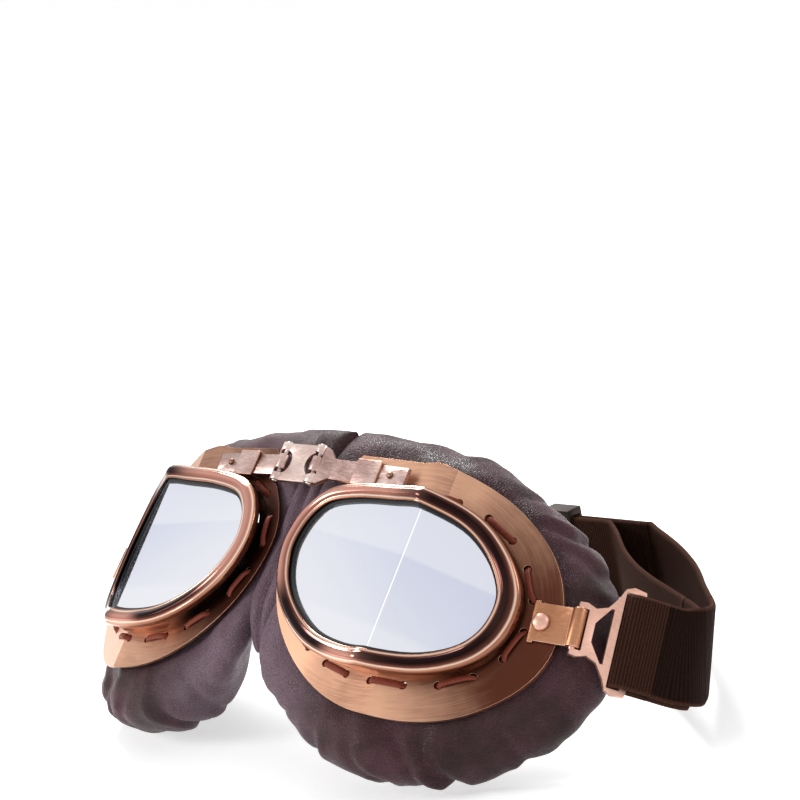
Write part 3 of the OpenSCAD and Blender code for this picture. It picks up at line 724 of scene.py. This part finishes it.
lace_finish = lace_leather()
holes = spread(inset(curve(rim_points, 4), -LACE_OUT), LACE_HOLES, LACE_PHASE)
path = []
for i in range(LACE_HOLES):
    towards = -1 if i % 2 else 1
    a, b = holes[i], holes[(i + 1) % LACE_HOLES]
    over = (a[0] - CREASE) * (b[0] - CREASE) < 0
    middle = (CREASE - a[0]) / (b[0] - a[0]) if over else 0.5
    for share, lift in ((0.0, 0.0), (0.14, 0.8), (middle, 1.0), (0.86, 0.8)):
        p = a + (b - a) * share
        raised = (LACE_T / 2 + LACE_LIFT) / math.cos(FLANGE_IN if p[0] < CREASE else FLANGE_OUT)
        y = flange_depth(p[0]) + FLANGE_T / 2 + towards * (FLANGE_T / 2 + raised) * lift
        path.append((p[0], y, p[1]))
path = curve(path, 3)
tangent = unit(np.roll(path, -1, 0) - np.roll(path, 1, 0))
outward = np.stack([path[:, 0] - EYE[0], np.zeros(len(path)), path[:, 2]], 1)
thin = unit(np.cross(tangent, outward))
wide = np.cross(thin, tangent)
section = [flat_oval(a) for a in np.linspace(0, 2 * math.pi, 10, endpoint=False)]
rings = np.stack([path + wide * (LACE_W / 2 * u) + thin * (LACE_T / 2 * v) for u, v in section], 1)
across_lace = np.tile(np.abs(np.linspace(-1, 1, len(section))), len(path))
both_sides("laced_stitches_", rings, lace_finish, "lace_", {"across": across_lace}, smooth=180)

# %% [markdown]
# ## Leather
#
# The mask is soft leather over foam: two rolls round the eyes, joined over the
# nose. Its grain is a net of small cells with pores between, pressed in by a bump
# and darker in its lines. A slow cloud of two browns keeps it from looking
# painted. Near the nose a paler sheen is painted into its colour, a painted highlight.

# %% Leather finish
# How far the painted sheen near the nose reaches, across and up.
SHEEN_PAINT_X, SHEEN_PAINT_Z = (42.0, 12.0), (36.0, 20.0)


def soft_leather():
    finish = Finish("brown_leather", specular_ior_level=0.2, sheen_weight=0.03, sheen_roughness=0.4)
    finish.shader.inputs["Sheen Tint"].default_value = colour(180, 150, 160)
    place = finish.upright()
    wander = finish.node("TexNoise", {}, {"Vector": place, "Scale": 0.7}, output="Color")
    bent = finish.node("VectorMath", {"operation": "ADD"}, {0: place, 1: wander})
    cells = finish.node("TexVoronoi", {"feature": "DISTANCE_TO_EDGE"}, {"Vector": bent, "Scale": 1.5})
    grain = finish.span(cells, 0.0, 0.2)
    pores = finish.noise(1.3, 3.0, 0.65)
    cloud = finish.noise(0.06, 4.0, 0.6)
    x, _, z = finish.parts(place)
    # Painted sheen: a paler patch near the nose, a painted highlight.
    painted_sheen = finish.span(x.maths("ABSOLUTE"), *SHEEN_PAINT_X) * finish.span(z, *SHEEN_PAINT_Z)
    tone = finish.mix(finish.span(cloud, 0.35, 0.7), colour(50, 27, 28), colour(88, 56, 64))
    tone = finish.mix(painted_sheen * 0.7, tone, colour(138, 114, 128))
    finish.feed("Base Color", finish.mix(grain * 0.45 + 0.55, colour(36, 22, 22), tone))
    finish.feed("Roughness", cloud * 0.12 + (1 - grain) * 0.2 + 0.28)
    finish.bump(grain * 0.5 + pores * 0.8, 0.2 * MM)
    return finish


leather = soft_leather()
print("leather:", len(leather.data.nodes), "nodes")

# %% [markdown]
# ## The rolls' first shape
#
# Each roll starts as a plain skin: rings between the outer outline and the oval
# opening for the eye, thin beside the nose and full round the eye. It starts a
# little small, because the next step blows it up.

# %% The roll's first shape
PAD_DEPTH, NOSE_DEPTH, TEMPLE_THINNER = 25.0, 9.0, 3.0
EYE_RX, EYE_RZ = 31.0, 21.0
BEHIND_FLANGE = FLANGE_T + 0.3
ROLL_SIDES, ROLL_START, ROLL_ROUND = 28, 0.9, 0.75


def ease(t):
    """0 below 0 and 1 above 1, with a soft run between."""
    t = np.clip(t, 0, 1)
    return t * t * (3 - 2 * t)


def pad_depth(x):
    full = ease((x - 8) / 16)
    return NOSE_DEPTH + (PAD_DEPTH - NOSE_DEPTH) * full - TEMPLE_THINNER * ease((x - 78) / 20)


def pad_rings(sides, size):
    outer = curve(pad_points, 4)
    across = outer - EYE
    angle = np.arctan2(across[:, 1] / EYE_RZ, across[:, 0] / EYE_RX)
    inner = EYE + np.stack([EYE_RX * np.cos(angle), EYE_RZ * np.sin(angle)], 1)
    middle, half = (outer + inner) / 2, (outer - inner) / 2
    rings = []
    for k in range(sides):
        a = 2 * math.pi * k / sides
        c, s = (math.copysign(abs(v) ** ROLL_ROUND, v) for v in (math.cos(a), math.sin(a)))
        v = middle + half * c * size
        x, half_depth = v[:, 0], pad_depth(v[:, 0]) / 2
        y = flange_depth(x) + BEHIND_FLANGE + half_depth * (1 + s * size)
        rings.append(np.stack([x, y, v[:, 1]], 1))
    return np.stack(rings, 1)


roll_rings = pad_rings(ROLL_SIDES, ROLL_START)
print("roll:", len(roll_rings), "rings round the eye")

# %% [markdown]
# ## Swelling
#
# The skin is tight where the flange clamps it and puffy beyond. It is remeshed
# into even quads and blown up as cloth with its clamped part pinned. How far a
# point moves is capped, and smoothing takes out the sharpest wrinkles.

# %% Blow a roll up as cloth
VOXEL, PRESSURE, SWELL, CLOTH_FRAMES = 3.2, 2.0, 1.5, 20


def applied(piece):
    """Work the piece's modifiers into its mesh."""
    graph = bpy.context.evaluated_depsgraph_get()
    mesh = bpy.data.meshes.new_from_object(piece.evaluated_get(graph))
    piece.modifiers.clear()
    piece.data = mesh


def read_vertices(mesh, key):
    values = np.empty(len(mesh.vertices) * 3)
    mesh.vertices.foreach_get(key, values)
    return values.reshape(-1, 3)


def set_places(mesh, points):
    mesh.vertices.foreach_set("co", np.asarray(points, float).ravel())
    mesh.update()


def inflated(piece, pinned):
    group = piece.vertex_groups.new(name="clamped")
    for i, weight in enumerate(pinned):
        if weight > 0:
            group.add([i], float(weight), "REPLACE")
    cloth = modifier(piece, "CLOTH").settings
    cloth.quality, cloth.mass = 6, 0.3
    cloth.tension_stiffness = cloth.compression_stiffness = 12
    cloth.bending_stiffness = 0.6
    cloth.use_pressure, cloth.uniform_pressure_force = True, PRESSURE
    cloth.vertex_group_mass, cloth.shrink_min = "clamped", -0.03
    cloth.effector_weights.gravity = 0
    for step in range(1, CLOTH_FRAMES + 1):
        scene.frame_set(step)
    before = read_vertices(piece.data, "co")
    applied(piece)
    move = read_vertices(piece.data, "co") - before
    length = np.linalg.norm(move, axis=1)
    cap = SWELL * (1 - np.exp(-length / SWELL)) / np.maximum(length, 1e-9)
    set_places(piece.data, before + move * cap[:, None])
    scene.frame_set(1)
    modifier(piece, "SMOOTH", factor=0.5, iterations=4)
    applied(piece)
    return float(np.mean(length * cap))


print("cloth:", CLOTH_FRAMES, "frames, at most", SWELL, "mm outwards")

# %% [markdown]
# ## Gathers
#
# Leather that is drawn round a curve gathers in folds that run outward from the
# eye, with a ridge beside each valley. They are pressed in along the surface
# normals. The clamped part stays behind the plate, and the free part rolls
# forward past its edge, except under the strap's tab, which needs room to swivel.

# %% Folds, and the limits of the leather
CREASES = [(38, 2.0, 2.6), (27, 1.2, 2.2), (14, 0.8, 2.4), (57, 0.6, 2.6), (80, 0.4, 2.4),
           (-38, 1.1, 2.6), (-58, 1.9, 2.6), (-70, 1.3, 2.2), (-86, 1.1, 2.4), (-108, 1.4, 2.6),
           (-124, 1.0, 2.4)]
TUCKS = [(-42, 1.6, 24), (52, 1.2, 20)]
TAB_X, TAB_Z, TAB_ROOM = 80, 1.5, 1.2
ROLL_FORWARD = 4.0


def inside(line, points):
    """How far inside the outline each front-view point lies; negative outside."""
    away = np.min(np.linalg.norm(points[:, None] - line[None], axis=2), axis=1)
    x, z = points[:, 0], points[:, 1]
    hit = np.zeros(len(points), bool)
    for a, b in zip(line, np.roll(line, -1, 0)):
        cross = (a[1] > z) != (b[1] > z)
        with np.errstate(divide="ignore", invalid="ignore"):
            hit ^= cross & (x < (b[0] - a[0]) * (z - a[1]) / (b[1] - a[1]) + a[0])
    return np.where(hit, away, -away)


def valley(turn, at, width):
    """A fold with a lower ridge beside it; angles in degrees."""
    ridge = np.exp(-((turn - at - 1.9 * width) / (1.3 * width)) ** 2)
    return np.exp(-((turn - at) / width) ** 2) - 0.5 * ridge


def folded(points, normals):
    """Folds across the free part of the roll, deeper towards its back."""
    front = points[:, [0, 2]]
    angle = np.arctan2(front[:, 1] - EYE[1], front[:, 0] - EYE[0])
    degrees = np.degrees(angle)
    ring = np.column_stack([np.cos(angle) * 9, np.sin(angle) * 9, points[:, 1] * 0.05])
    broad, skin, wobble = (np.array([noise.noise(Vector(p) * scale) for p in row])
                           for row, scale in ((ring, 0.5), (points, 0.13), (points, 0.09)))
    free = ease((1.0 - inside(flange_line, front)) / 6)
    rear = ease((points[:, 1] - flange_depth(points[:, 0]) + 1) / 9)
    crease = sum(depth * valley(degrees + 7 * wobble, at, width) for at, depth, width in CREASES)
    tucked = sum(depth * np.exp(-((degrees - at) / width) ** 2) for at, depth, width in TUCKS)
    depth = free * (broad * 0.6 + skin * 0.8 - tucked - crease * (0.35 + 0.65 * rear))
    return points + normals * depth[:, None]


def held(points):
    """Behind the plate where it is clamped, forward past its edge, and out of the eye."""
    beyond = -inside(flange_line, points[:, [0, 2]])
    under_tab = np.where(points[:, 0] > TAB_X, np.exp(-((points[:, 2] - TAB_Z) / 10) ** 2), 0)
    forward = np.clip(beyond - 0.8, 0, ROLL_FORWARD) * 1.1 * (1 - under_tab)
    limit = flange_depth(points[:, 0]) + BEHIND_FLANGE - forward + TAB_ROOM * under_tab
    eye = ((points[:, 0] - EYE[0]) / (EYE_RX - 0.1)) ** 2 + (points[:, 2] / (EYE_RZ - 0.1)) ** 2
    kept = points.copy()
    kept[:, 1] = np.maximum(kept[:, 1], limit)
    out = eye < 1
    grow = 1 / np.sqrt(np.maximum(eye[out], 1e-6))
    kept[out, 0] = EYE[0] + (kept[out, 0] - EYE[0]) * grow
    kept[out, 2] *= grow
    return kept


print("folds:", len(CREASES), "and tucks:", len(TUCKS))

# %% [markdown] ## Both rolls  One roll is made in upright millimetres and then
# mirrored.

# %% Make the right-hand roll and mirror it
roll = add_piece("leather_roll", roll_rings.reshape(-1, 3),
                 ring_faces(len(roll_rings), ROLL_SIDES, True), leather, None, smooth=180)
modifier(roll, "REMESH", mode="VOXEL", voxel_size=VOXEL)
applied(roll)
points = read_vertices(roll.data, "co")
clamp = inside(flange_line, points[:, [0, 2]])
front = points[:, 1] - flange_depth(points[:, 0])
pinned = np.clip((clamp + 1) / 3, 0, 1) * (front < 6)
print("mean swell:", round(inflated(roll, pinned), 2), "mm")
modifier(roll, "SUBSURF", levels=1)
applied(roll)
points = held(folded(read_vertices(roll.data, "co"), read_vertices(roll.data, "normal")))
set_places(roll.data, points)
modifier(roll, "SUBSURF", levels=1)
applied(roll)
roll_points = held(read_vertices(roll.data, "co"))
roll_faces = [tuple(f.vertices) for f in roll.data.polygons]
bpy.data.objects.remove(roll)

for tail, side in SIDES.items():
    faces = roll_faces if side > 0 else [f[::-1] for f in roll_faces]
    piece = add_piece("leather_pad_" + tail, leaned(roll_points, side), faces, leather,
                      BODY["pad_" + tail], ["pad_" + tail], smooth=180)
print("pads:", len(roll_points), "vertices each")

# %% [markdown]
# ## Nose piece
#
# Over the nose the two rolls meet in a narrow saddle with a fold down its middle.
# It is made in two halves that are sunk into the rolls.

# %% Nose piece
NOSE_LOW, NOSE_HEIGHT = -23.0, 67.5
NOSE_Z = NOSE_LOW + NOSE_HEIGHT * (1 - np.cos(np.linspace(0, math.pi, 60))) / 2
NOSE_X = np.concatenate([np.linspace(0, 2.2, 6), np.linspace(3, 7.2, 6)])
NOSE_THICK = ([-29, -20, 0, 30, 40, 44.6], [6.0, 7.0, 8.0, 9.0, 9.0, 8.0])


def nose_section(z):
    """Front points outward from the middle, then back points inward."""
    base = flange_depth(0) + BEHIND_FLANGE
    along = (z - NOSE_Z[0]) / (NOSE_Z[-1] - NOSE_Z[0])
    round_end = math.sqrt(max(0.0, 1 - max(0.0, 1 - along / 0.12, (along - 0.9) / 0.1) ** 2))
    sunk = 0.3 * np.maximum(0, NOSE_X - 3.2) ** 2
    fold = 1.3 * np.exp(-(NOSE_X / 1.2) ** 2) * ease((42 - z) / 12)
    pucker = 0.4 * np.array([noise.noise(Vector((x * 0.25, 0, z * 0.16))) for x in NOSE_X])
    thick = np.interp(z, *NOSE_THICK)
    middle = base + thick / 2 + 5 * ease((-8 - z) / 18)
    front = middle + round_end * (sunk + fold + pucker + 0.6 - thick / 2)
    rear = middle + round_end * (thick / 2 - 0.2 * sunk)
    tongue = math.sqrt(1 - max(0.0, 1 - along / 0.07) ** 2)
    across = NOSE_X * (1 - 0.4 * ease((-8 - z) / 15)) * (0.3 + 0.7 * tongue)
    height = np.full_like(across, z)
    return np.concatenate([np.stack([across, front, height], 1),
                           np.stack([across, np.maximum(rear, front + 0.05), height], 1)[::-1]])


sections = np.stack([nose_section(z) for z in NOSE_Z])
for tail, side in SIDES.items():
    faces = ring_faces(len(NOSE_Z), sections.shape[1], False, side < 0)
    piece = add_piece("nose_leather_" + tail, leaned(sections.reshape(-1, 3), side), faces, leather,
                      None, ["nose_piece"] if side > 0 else (), smooth=70)
    start, end = (Vector(leaned((x, -8, 10), side)[0]) for x in (0.3, 6.0))
    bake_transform(piece)
print("nose piece:", len(NOSE_Z), "sections")

# %% [markdown]
# ## Lining
#
# The eye openings are lined with black felt, which shows from behind. It is a thin
# sleeve: one profile, front to back and over the edge, carried round the oval.

# %% Black felt lining


def felt():
    finish = Finish("black_felt", roughness=0.95, specular_ior_level=0.15, sheen_weight=0.2)
    fuzz = finish.noise(3.0, 4.0, 0.7)
    finish.feed("Base Color", finish.mix(fuzz, colour(14, 13, 13), colour(40, 37, 37)))
    finish.bump(fuzz, 0.2 * MM)
    return finish


felt_finish = felt()
turns = np.linspace(0, 2 * math.pi, 96, endpoint=False)
FELT_PROFILE = [(0.7, 0.0), (0.7, 0.5), (0.7, 0.97), (1.1, 1.0), (1.6, 0.97), (1.9, 0.5), (1.9, 0.0)]
rings = []
for reach, share in FELT_PROFILE:
    x = EYE[0] + (EYE_RX - reach) * np.cos(-turns)
    z = (EYE_RZ - reach) * np.sin(-turns)
    front = flange_depth(x) + FLANGE_T + 0.4
    rings.append(np.stack([x, front + (pad_depth(x) * 0.75 - 0.4) * share, z], 1))
both_sides("felt_lining_", np.stack(rings, 1), felt_finish, "lining_")

# %% [markdown]
# ## Elastic
#
# The strap is 25 mm woven elastic with fine ribs across it, a fuzz of fibres and
# paler edges. The ribs are a sine of the distance along the band, unsettled by
# noise. The inner face is darkened as painted shade, so which face a point is on is
# kept too.

# %% Woven elastic
STRAP_W, STRAP_T = 25.3, 1.5
RIB_EVERY = 0.8


def elastic():
    finish = Finish("brown_elastic", specular_ior_level=0.04, sheen_weight=0.04, sheen_roughness=0.5)
    finish.shader.inputs["Sheen Tint"].default_value = colour(170, 120, 100)
    along, across, outside = (finish.kept(name) for name in ("along", "across", "worn"))
    fuzz = finish.noise(1.0, 5.0, 0.75, finish.joined(along * 1.1, across * 3.0, 0.0))
    rib = (along * (2 * math.pi / RIB_EVERY) + fuzz * 9.0).maths("SINE") * 0.5 + 0.5
    edge = finish.span((across - STRAP_W / 2).maths("ABSOLUTE"), STRAP_W / 2 - 1.0, STRAP_W / 2 - 0.4)
    weave = rib * 0.3 + fuzz * 0.7
    tone = finish.mix(finish.span(weave, 0.25, 0.8), colour(30, 17, 13), colour(74, 47, 37))
    # Painted shade: the inner face is darker.
    tone = finish.mix(outside * 0.65 + 0.35, colour(12, 7, 6), tone)
    finish.feed("Base Color", finish.mix(edge * 0.6, tone, colour(84, 54, 43)))
    finish.feed("Roughness", fuzz * 0.2 + 0.7)
    finish.bump(weave + edge * 0.4, 0.25 * MM)
    return finish


elastic_finish = elastic()
print("elastic:", len(elastic_finish.data.nodes), "nodes")

# %% [markdown]
# ## Strap
#
# A band is a section with rounded edges, carried along a path. A list of width
# directions, one for each point of the path, says how it twists on its way.

# %% The strap's section and its sweep


def band_section():
    """Points round the section, as shares of half the width and half the thickness."""
    flat = [(u, 1.0) for u in np.linspace(0.93, -0.93, 20)]
    turn = [(-1.0, 0.45), (-1.0, -0.45)]
    return np.array(flat + turn + [(-u, -v) for u, v in flat + turn])


def sweep(path, widths):
    """Rings of the band along a path in millimetres, and the length run so far."""
    p = np.asarray(path, float)
    t = unit(np.gradient(p, axis=0))
    b = unit(np.cross(widths, t))
    a = np.cross(t, b)
    width, thickness = band_section().T[:, None, :, None] / 2
    rings = p[:, None] + a[:, None] * (width * STRAP_W) + b[:, None] * (thickness * STRAP_T)
    return rings, length_run(p)


def band_piece(name, rings, run, body, stands_for=(), side=1):
    section = band_section()
    sides = len(section)
    points = rings.reshape(-1, 3) * MM * np.array([side, 1, 1])
    # The third kept number is 1 on the outer face and 0 on the inner one, which the finish darkens as
    # painted shade.
    kept = {"along": np.repeat(run, sides),
            "across": np.tile((section[:, 0] + 1) * STRAP_W / 2, len(rings)),
            "worn": np.tile((section[:, 1] + 1) / 2, len(rings))}
    piece = add_piece(name, points, ring_faces(len(rings), sides, False, side > 0), elastic_finish,
                      body, stands_for, kept, smooth=180)
    return piece


print("section:", len(band_section()), "points")

# %% [markdown]
# ## The strap's way round
#
# Each side leaves its loop in line with it, turns until its width is upright and
# meets the straight run behind the head. A row gives how far across a point lies
# from the loop, and its shares of the way back and of the way down.

# %% Route of the strap, from a loop to the rear run
RIVET = (87.3, 0.8)
TAB_SWIVEL, LOOP_TURN = math.radians(7), math.radians(26)
FOLD = np.array([9.6, -0.55, 0])
LOOP_REACH, LEG, LEG_Y = 15.2, 7.0, 2.05
REAR_Y, STRAP_LIFT, REAR_HALF, SLIDER_X = 74.0, 2.6, 26.0, -6.0
STRAP_Z = STRAP_LIFT + STRAP_W / 2


def spun(v, axis, angle):
    return np.array(Matrix.Rotation(angle, 3, axis) @ Vector(v))


def tab_turn(v):
    return spun(spun(v, "Y", -TAB_SWIVEL), "Z", FLANGE_OUT)


def loop_turn(v):
    return tab_turn(spun(v, "Z", LOOP_TURN))


rivet = np.array([RIVET[0], float(flange_depth(np.array(RIVET[0]))), RIVET[1]])


def loop_point(v):
    """A point in the loop's own frame, in the scene, in millimetres."""
    return leaned(rivet + tab_turn(FOLD) + loop_turn(v))[0] / MM


bar_axis = turned(loop_turn((0, 0, 1)))[0] / MM
outer_rows = [(4.8, 0.063, 0.232), (4.8, 0.108, 0.329), (2.5, 0.164, 0.411), (-2.3, 0.231, 0.501),
              (-9.4, 0.313, 0.577), (-18.4, 0.415, 0.639), (-28.9, 0.534, 0.673),
              (-40.9, 0.654, 0.742), (-53.3, 0.77, 0.838), (-65.1, 0.872, 0.928),
              (-74.8, 0.952, 0.997)]
inner_rows = [(3.8, 0.068, 0.298), (2.7, 0.111, 0.417), (-1, 0.166, 0.504), (-7.7, 0.228, 0.584),
              (-16.7, 0.298, 0.647), (-27.3, 0.376, 0.703), (-38.6, 0.461, 0.766),
              (-49.8, 0.553, 0.822), (-60.1, 0.649, 0.869), (-69.2, 0.743, 0.917),
              (-77.3, 0.833, 0.948), (-84.1, 0.91, 0.98), (-89.8, 0.968, 0.996)]


def route(side, rows, y, end_x, last_steps):
    legs = [loop_point((LOOP_REACH + LEG + far, side * LEG_Y, 0)) for far in (0.1, 1.2, 4.6)]
    x0, y0, z0 = legs[0]
    rows = [(x0 + across, y0 + back * (y - y0), z0 + down * (STRAP_Z - z0))
            for across, back, down in rows]
    return curve(legs + rows + [(end_x + x, y, STRAP_Z) for x in last_steps], 6, closed=False)


def twisting(count, first, last=(0, 0, 1)):
    """Width directions that turn from the first to the last along the way."""
    share = ease(1.15 * np.arange(count) / (count - 1))[:, None]
    return np.asarray(first) * (1 - share) + np.asarray(last) * share


outer_path = route(-1, outer_rows, REAR_Y, REAR_HALF, (4.1, 2.1, 0.0))
inner_path = route(1, inner_rows, REAR_Y - STRAP_T - 0.35, SLIDER_X + 2.2, (18.1, 12.1, 6.1, 0.1))
print("strap side:", round(float(length_run(outer_path)[-1])), "mm each")

# %% [markdown]
# ## Lengths of strap
#
# Each side is cut across into lengths, one for each pair of neighbouring
# bodies in its chain. The lengths meet end to end and are baked in place.

# %% Cut a side into lengths, one for each pair of neighbouring bodies
OUTER_CUTS = (0, 0.12, 0.26, 0.42, 1)
INNER_CUTS = (0, 0.1, 0.22, 0.36, 0.7, 1)


def bending_band(name, path, side, chain, shares, stands_for):
    """chain names the bodies from the loop back; shares are the cuts between its pairs."""
    rings, run = sweep(path, twisting(len(path), bar_axis))
    cuts = [int(round(share * (len(path) - 1))) for share in shares]
    last_pair = len(chain) - 2
    for i, (a, b) in enumerate(zip(chain, chain[1:])):
        first, last = cuts[i], cuts[i + 1]
        piece = band_piece(f"{name}_{i + 1}", rings[first:last + 1], run[first:last + 1], None,
                           stands_for if i == 0 else (), side)
        stop = last if i < last_pair else first + (last - first) * 3 // 4
        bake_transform(piece)


def chain_back(tail):
    return [part + tail for part in ("loop_", "tab_", "half_", "arm_")] + ["bridge"]


for tail, side in SIDES.items():
    name = "strap_side_" + tail
    bending_band(name, outer_path, side, chain_back(tail), OUTER_CUTS, [name])
bending_band("strap_doubled", inner_path, 1, chain_back("r") + ["slider"], INNER_CUTS, ["strap_inner"])
print("lengths:", 2 * (len(OUTER_CUTS) - 1) + len(INNER_CUTS) - 1)

# %% [markdown]
# ## Rear run and ends
#
# Behind the head the band is straight. Each end is folded round its loop's bar:
# a leg in front, half a turn, and a leg back, longer where no inner layer is.

# %% Rear run and the folded ends
WRAP_R, WRAP_REACH, SPARE_LEG = 1.6, 3.6, 6
rear_path = [(x, REAR_Y, STRAP_Z) for x in np.linspace(REAR_HALF, -REAR_HALF, 27)]
rings, run = sweep(rear_path, np.tile((0, 0, 1), (len(rear_path), 1)))
band_piece("strap_rear_run", rings, run, "bridge", ["strap_rear"])
off_bar = WRAP_R + STRAP_T / 2
half_turn = [(WRAP_REACH * math.cos(a), -off_bar * math.sin(a), 0)
             for a in np.radians(np.linspace(90, 270, 13))]
for tail, side in SIDES.items():
    back_leg = LEG + (0 if side > 0 else SPARE_LEG)
    wrap = [(LEG - k * LEG / 5, -off_bar, 0) for k in range(5)] + half_turn
    wrap += [(k * back_leg / 5, off_bar, 0) for k in range(1, 6)]
    path = np.array([loop_point((LOOP_REACH + x, y, z)) for x, y, z in wrap])
    rings, run = sweep(path, np.tile(bar_axis, (len(path), 1)))
    band_piece("strap_end_fold_" + tail, rings, run, "loop_" + tail, ["strap_end_" + tail], side)
print("longer folded end:", round(float(run[-1]), 1), "mm")

# %% [markdown]
